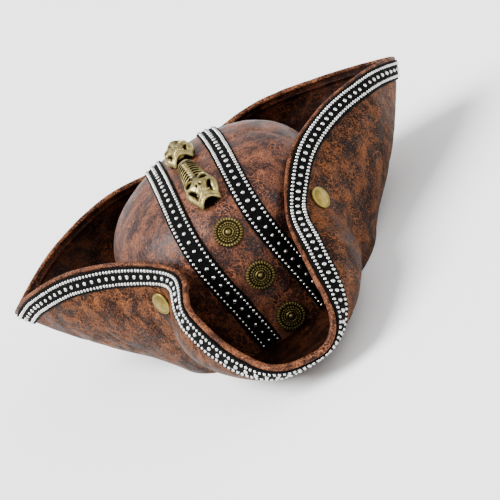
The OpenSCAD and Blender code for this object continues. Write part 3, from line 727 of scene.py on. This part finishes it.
def section(u):
    """The three points of each section's bend: on the crown, between, and on the edge."""
    e = edge_at(u)
    a, rise = np.radians(e[:, 4]), np.radians(e[:, 3])
    zero = 0 * a
    foot = np.stack([(CROWN_X + FOOT_GAP) * np.sin(a), -(CROWN_Y + FOOT_GAP) * np.cos(a), zero], -1)
    out = unit(np.stack([np.sin(a) / CROWN_X, -np.cos(a) / CROWN_Y, zero], -1))
    bend = foot + REACH * (out * np.cos(rise)[:, None] + np.stack([zero, zero, np.sin(rise)], -1))
    return foot[:, None], bend[:, None], e[:, None, :3]


def on_section(s, v):
    """Points of sections, a share v of the way from the crown to the edge."""
    v = v[..., None]
    return (1 - v) ** 2 * s[0] + 2 * v * (1 - v) * s[1] + v ** 2 * s[2]


def speed(s, v):
    """How many millimetres of a section one unit of v covers."""
    v = v[..., None]
    return np.linalg.norm(2 * (1 - v) * (s[1] - s[0]) + 2 * v * (s[2] - s[1]), axis=-1)


def inset(u, way):
    """The share v of each section that lies a way in from the edge."""
    s = section(u)
    way = np.broadcast_to(way, (len(u), np.size(way)))
    last = speed(s, np.ones_like(way))
    return 1 - way / speed(s, 1 - 0.5 * way / last)


def brim_frame(u, v):
    """Points of the brim's middle surface and the way out from it."""
    s = section(u)
    along = on_section(section(u + 0.001), v) - on_section(section(u - 0.001), v)
    up = on_section(s, v + 0.001) - on_section(s, v - 0.001)
    n = unit(np.cross(along, up))
    share = smooth(0, 1 / 6, v)[..., None]
    return on_section(s, v) + [0, 0, HALF_T], unit(share * n + (1 - share) * np.array([0, 0, -1.0]))


def snap_line(side):
    """A press stud's place in the flap, and the way that it faces."""
    u, v = SNAPS[side]
    p, n = (x[0, 0] for x in brim_frame(np.array([u]), np.array([[v]])))
    lo, hi = 0.0, 40.0
    for _ in range(30):
        m = (lo + hi) / 2
        q = p - m * n
        inside_crown = (q[0] / CROWN_X) ** 2 + (q[1] / CROWN_Y) ** 2 < crown_g(q[2]) ** 2
        lo, hi = (lo, m) if inside_crown else (m, hi)
    return p, unit(n + crown_normal(p - lo * n))


SNAP_LINES = {side: snap_line(side) for side in SNAPS}


def brim_point(u, v, d):
    """Points of the brim, d out from its middle, with the cloth's dents and creases."""
    p, n = brim_frame(u, v)
    relief = 0.8 * perlin(p, 48.0, 11) + 0.3 * perlin(p, 15.0, 12)
    relief -= 0.75 * (1 - np.abs(perlin(p, 60.0, 13))) ** 16
    relief -= 0.35 * (1 - np.abs(perlin(p, 24.0, 14))) ** 14
    relief *= smooth(0.1, 0.4, v)
    q = p + n * (d + relief)[..., None]
    for at, axis in SNAP_LINES.values():
        h = (q - at) @ axis
        r = np.linalg.norm(q - at - h[..., None] * axis, axis=-1)
        press = (1 - smooth(8.3, 14.0, r)) * (np.abs(h) < 12)
        target = np.where(np.broadcast_to(d, h.shape) > 0, 1.1, -1.1)
        q = q + (press * (target - h))[..., None] * axis
    q[..., 2] = np.maximum(q[..., 2], 0.02)
    return q


# A flap is the cloth over a plane through its fold line: a point of the line, the way up from it, and the
# part of the brim's edge that it spans.
FOLDS = {
    "right": (np.array([21, -192, 33.6]), np.array([-0.45224, 0.0582, 0.89]), 1 / EDGE_N, 6 / EDGE_N),
    "left": (np.array([-31, -189, 32.6]), np.array([0.48294, -0.01247, 0.87556]), 14 / EDGE_N, 19 / EDGE_N),
}


def over_fold(side, p, u):
    """Which points p, at shares u of the way round the brim, lie above a flap's fold line."""
    at, up, first, last = FOLDS[side]
    return ((p - at) @ up > 0) & (u > first) & (u < last)


def bend_with_flap(o):
    """Bakes the piece's place into its points."""
    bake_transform(o)


def add_brim_piece(name, points, quads, u, material, replaced, normals=None):
    """Splits a piece of the brim into what stays with the hat and what lies above each flap's fold line."""
    normals = vertex_normals(points, quads) if normals is None else normals
    rest = np.ones(len(quads), bool)
    for side in ("left", "right"):
        chosen = over_fold(side, points, u)[quads].any(1)
        rest &= ~chosen
        if not chosen.any():
            continue
        used, index = np.unique(quads[chosen], return_inverse=True)
        o = add_mesh(f"{side}_flap_{name}", points[used], index.reshape(-1, quads.shape[1]), material,
                     None, replaced.get(side, ()), None, normals[used])
        bend_with_flap(o)
    used, index = np.unique(quads[rest], return_inverse=True)
    add_mesh(f"brim_{name}", points[used], index.reshape(-1, quads.shape[1]), material, "hat_body",
             replaced.get("root", ()), None, normals[used])


# The brim's outer face, and its inner face with a hem that has a raised line. HEM_WAYS lie in from the edge.
COLUMNS = 760
ROLL_IN, HEM_LINE = 2.6, 7.0
HEM_WAYS = np.array([9.6, 8.6, 7.9, 7.3, 6.7, 6.1, 5.2, 4.0, ROLL_IN])
u = np.arange(COLUMNS) / COLUMNS
share = np.linspace(0, 1, 31)[None, :]
outer_v = share * inset(u, ROLL_IN)
inner_hem_v = inset(u, HEM_WAYS)
inner_v = share[:, :-1] * inner_hem_v[:, :1]
outer = brim_point(u, outer_v, np.full(outer_v.shape, HALF_T))
inner = brim_point(u, inner_v, np.full(inner_v.shape, -HALF_T))
hem_lift = HALF_T + 0.3 + 0.75 * np.exp(-((HEM_WAYS - HEM_LINE) / 0.75) ** 2) - 0.25 * (HEM_WAYS > 8)
inner_hem = brim_point(u, inner_hem_v, -np.broadcast_to(hem_lift, inner_hem_v.shape))

# The rim is rolled over the edge
roll_v = inset(u, 2.3)
roll_centre = brim_point(u, roll_v, 0 * roll_v)
_, roll_out = brim_frame(u, roll_v)
roll_up = unit(brim_point(u, roll_v + 0.01, 0 * roll_v) - brim_point(u, roll_v - 0.01, 0 * roll_v))
angles = np.radians([86, 66, 46, 26, 8, -10, -28, -48, -68, -86])
bulge = 2.25 + 0.12 * perlin(roll_centre, 9.0, 15)[..., None]
roll = roll_centre + bulge * (np.sin(angles)[None, :, None] * roll_out
                              + np.cos(angles)[None, :, None] * roll_up)

profile = np.concatenate([outer, roll, inner_hem[:, ::-1], inner[:, ::-1]], 1)
cols = profile.shape[1]
points = profile.reshape(-1, 3)
quads = grid_quads(COLUMNS, cols, True, True)
column = quads[:, 0] % cols
normals = vertex_normals(points, quads)
vertex_u = np.repeat(u, cols)
n_outer, n_roll = outer.shape[1], roll.shape[1]
parts = {
    "outer_leather": (column < n_outer - 1, BRIM_LEATHER, "brim_cloth"),
    "rim_roll": ((column >= n_outer - 1) & (column < n_outer + n_roll), RIM_LEATHER, "brim_cloth"),
    "inner_leather": (column >= n_outer + n_roll, INNER_LEATHER, "inner_cloth"),
}
REPLACED = {
    "outer_leather": {"root": ("brim_outer_cover", "brim_stiffener"),
                      "left": ("left_flap_outer_cover", "left_flap_stiffener"),
                      "right": ("right_flap_outer_cover", "right_flap_stiffener")},
    "inner_leather": {"root": ("brim_inner_cover",), "left": ("left_flap_inner_cover",),
                      "right": ("right_flap_inner_cover",)},
}
for name, (chosen, material, slot) in parts.items():
    add_brim_piece(name, points, quads[chosen], vertex_u, material, REPLACED.get(name, {}), normals)


# ------------------------------------------------------------------ trims

# A bead is a dome. The small ones stand in two rails, and the large ones between them.
BEAD = lathe([(1.0, 0.0), (0.93, 0.38), (0.72, 0.72), (0.38, 0.94), (0.0, 1.0)], 12)
SMALL_BEAD, LARGE_BEAD = (1.05, 1.25, 1.1), (1.4, 1.6, 1.2)
RAIL_PITCH, MID_PITCH = 3.2, 7.15
CROWN_RAIL, BRIM_RAIL = 5.2, 4.7
# How far the trim's middle lies in from the brim's edge, and how high its beads' feet are
TRIM_MID, BEAD_FOOT = 10.5, 1.4
# The ribbon's section: how far across, and how high
ACROSS = np.array([-7.5, -7.5, -7.3, -6.6, -4.4, -3.2, 0, 3.2, 4.4, 6.6, 7.3, 7.5, 7.5])
LIFT = np.array([0.0, 1.05, 1.4, 1.55, 1.35, 1.55, 1.45, 1.55, 1.35, 1.55, 1.4, 1.05, 0.0])


def bead_rows(rail):
    """The three rows of a trim: how far across each is, its pitch and its beads' size."""
    return (-rail, RAIL_PITCH, SMALL_BEAD), (rail, RAIL_PITCH, SMALL_BEAD), (0.0, MID_PITCH, LARGE_BEAD)


def bead_row(line, outs, pitch, size, closed):
    """Beads in a row along a line: their places, axes, sizes and shares of the way along it."""
    if closed:
        line, outs = np.vstack([line, line[:1]]), np.vstack([outs, outs[:1]])
    way = np.concatenate([[0], np.cumsum(np.linalg.norm(np.diff(line, axis=0), axis=1))])
    count = int(round(way[-1] / pitch))
    at = (np.arange(count) + 0.5) * way[-1] / count
    p = np.stack([np.interp(at, way, line[:, k]) for k in range(3)], -1)
    out = unit(np.stack([np.interp(at, way, outs[:, k]) for k in range(3)], -1))
    ahead = np.stack([np.interp(at + 0.3, way, line[:, k]) - np.interp(at - 0.3, way, line[:, k])
                      for k in range(3)], -1)
    ahead = unit(ahead - (ahead * out).sum(-1, keepdims=True) * out)
    side = np.cross(out, ahead)
    jitter = 1 + 0.05 * RNG.standard_normal((count, 1))
    return p, np.stack([ahead, side, out], 1), np.array(size) * jitter, at / way[-1]


def split_beads(name, rows):
    """Splits the brim's beads into those that stay with the hat and those above each flap's fold line."""
    p, axes, size, at = (np.concatenate([r[k] for r in rows]) for k in range(4))
    rest = np.ones(len(p), bool)
    for side in ("left", "right"):
        chosen = over_fold(side, p, at)
        rest &= ~chosen
        points, faces = stamp(BEAD, p[chosen], axes[chosen], size[chosen])
        bend_with_flap(add_mesh(f"{side}_flap_{name}", points, faces, SILVER))
    points, faces = stamp(BEAD, p[rest], axes[rest], size[rest])
    add_mesh(f"brim_{name}", points, faces, SILVER, "hat_body")


ribbon_v = inset(u, TRIM_MID + ACROSS)
band_points = brim_point(u, ribbon_v, np.broadcast_to(HALF_T + LIFT, ribbon_v.shape))[:, ::-1]
quads = grid_quads(COLUMNS, len(ACROSS))
add_brim_piece("trim_ribbon", band_points.reshape(-1, 3), quads, np.repeat(u, len(ACROSS)), RIBBON,
               {"root": ("brim_trim_front", "brim_trim_back"), "left": ("left_flap_trim",),
                               "right": ("right_flap_trim",)})

rows = []
for across, pitch, size in bead_rows(BRIM_RAIL):
    v = inset(u, TRIM_MID + across)
    line = brim_point(u, v, np.full(v.shape, HALF_T + BEAD_FOOT))[:, 0]
    _, outs = brim_frame(u, v)
    p, axes, size, _ = bead_row(line, outs[:, 0], pitch, size, True)
    nearest = np.argmin(((p[:, None] - line[None]) ** 2).sum(-1), axis=1)
    rows.append((p, axes, size, u[nearest]))
split_beads("trim_beads", rows)

# The crown's trims start a little above its foot, and sway sideways on their way over it. SWAY holds shares
# of the way and how far to the right the trims are moved there.
TRIM_START_Z = 5.0
SWAY = ((0, 2), (0.22, -2.2), (0.5, 5.5), (1, 0))
first = math.asin(TRIM_START_Z / CROWN_H) / math.pi
t = np.linspace(first, 1 - first, 361)
sway = np.zeros(len(t))
for (a, at_a), (b, at_b) in zip(SWAY[:-1], SWAY[1:]):
    part = (t >= a) & (t <= b)
    sway[part] = at_a + (1 - np.cos(math.pi * (t[part] - a) / (b - a))) / 2 * (at_b - at_a)
for side, x in (("left", -SEAM_X), ("right", SEAM_X)):
    strip, rows = [], []
    for across, lift in zip(ACROSS[::-1], LIFT):
        p = over_crown(x + sway - across, t)
        strip.append(p + (crown_relief(p) + lift)[:, None] * crown_normal(p))
    strip = np.stack(strip, 1)
    add_mesh(f"crown_{side}_ribbon", strip.reshape(-1, 3),
             grid_quads(len(t), len(ACROSS), False)[:, ::-1], RIBBON, "hat_body",
             (f"crown_trim_{side}",))
    for across, pitch, size in bead_rows(CROWN_RAIL):
        p = over_crown(x + sway + across, t)
        n = crown_normal(p)
        rows.append(bead_row(p + (crown_relief(p) + BEAD_FOOT)[:, None] * n, n, pitch, size, False))
    p, axes, size, _ = (np.concatenate([r[k] for r in rows]) for k in range(4))
    points, faces = stamp(BEAD, p, axes, size)
    add_mesh(f"crown_{side}_beads", points, faces, SILVER, "hat_body")


# ------------------------------------------------------------------ press studs

# A domed cap inside a raised rim, as radii and heights above the cloth that it is sunk in
CAP = lathe([(3.0, -0.6), (7.7, -0.5), (8.0, -0.1), (8.0, 0.7), (7.85, 1.1), (7.5, 1.35), (7.1, 1.4),
             (6.75, 1.22), (6.5, 1.1), (5.6, 1.32), (4.4, 1.55), (3.0, 1.72), (1.5, 1.8), (0.0, 1.83)], 72)
CAP_SEAT = 1.2
for side, (at, axis) in SNAP_LINES.items():
    x_axis = unit(np.cross(axis, [0, 0, 1.0]))
    y_axis = np.cross(axis, x_axis)
    points, faces = CAP
    placed = at + CAP_SEAT * axis + points @ np.stack([x_axis, y_axis, axis])
    add_mesh(f"{side}_snap_dome", placed, faces, SNAP_BRASS, f"{side}_flap",
             (f"{side}_snap_cap",))

# These keep their shape from the frame, with better materials
METAL_NODES = ("left_snap_socket", "right_snap_socket", "left_snap_stud", "right_snap_stud")
for name, material in [("crown_stiffener", FELT)] + [(name, SNAP_BRASS) for name in METAL_NODES]:
    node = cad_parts[name]
    node.data.materials.clear()
    node.data.materials.append(material)


# ------------------------------------------------------------------ floor, light, camera

# Half the floor's size and its height, in metres
FLOOR, FLOOR_Z = 9, -0.0003
mesh = bpy.data.meshes.new("floor")
mesh.from_pydata([(-FLOOR, -FLOOR, FLOOR_Z), (FLOOR, -FLOOR, FLOOR_Z), (FLOOR, FLOOR, FLOOR_Z),
                  (-FLOOR, FLOOR, FLOOR_Z)], [], [(0, 1, 2, 3)])
floor = bpy.data.objects.new("floor", mesh)
bpy.context.scene.collection.objects.link(floor)
pale = Shader("floor_white", Roughness=0.9, Specular_IOR_Level=0.1)
mesh.materials.append(pale.finish(Base_Color=(0.97, 0.97, 0.97, 1.0)))

world = bpy.data.worlds.new("studio")
world.use_nodes = True
world.node_tree.nodes["Background"].inputs["Color"].default_value = (1.0, 1.0, 1.0, 1.0)
world.node_tree.nodes["Background"].inputs["Strength"].default_value = 1.0
bpy.context.scene.world = world


def soft_sun(name, direction, strength, angle):
    """A sun that shines from a direction, with soft shadows: angle is how wide it looks, in degrees."""
    data = bpy.data.lights.new(name, "SUN")
    data.energy = strength
    data.angle = math.radians(angle)
    o = bpy.data.objects.new(name, data)
    o.rotation_euler = Vector(direction).to_track_quat("Z", "Y").to_euler()
    bpy.context.scene.collection.objects.link(o)


soft_sun("key", (-0.62, -0.1, 0.8), 8.3, 40)
soft_sun("fill", (0.7, -0.7, 0.6), 1.5, 60)

# The camera looks from the front and a little above, and is rolled to its left. AIM is in metres.
AIM = np.array([0.0027, 0.0098, 0.031])
BACK = unit(np.array([0.0139, -0.9488, 0.3156]))
DISTANCE, LENS, ROLL = 1.26, 125.2, math.radians(37)
level = unit(np.cross([0, 0, 1.0], BACK))
upright = np.cross(BACK, level)
camera = bpy.data.objects.new("camera", bpy.data.cameras.new("camera"))
camera.data.lens = LENS
camera.data.sensor_width = 36.0
camera.data.clip_end = 50.0
turn = np.eye(4)
turn[:3, 0] = level * math.cos(ROLL) - upright * math.sin(ROLL)
turn[:3, 1] = level * math.sin(ROLL) + upright * math.cos(ROLL)
turn[:3, 2] = BACK
turn[:3, 3] = AIM + DISTANCE * BACK
camera.matrix_world = Matrix(turn.tolist())
bpy.context.scene.collection.objects.link(camera)
bpy.context.scene.camera = camera
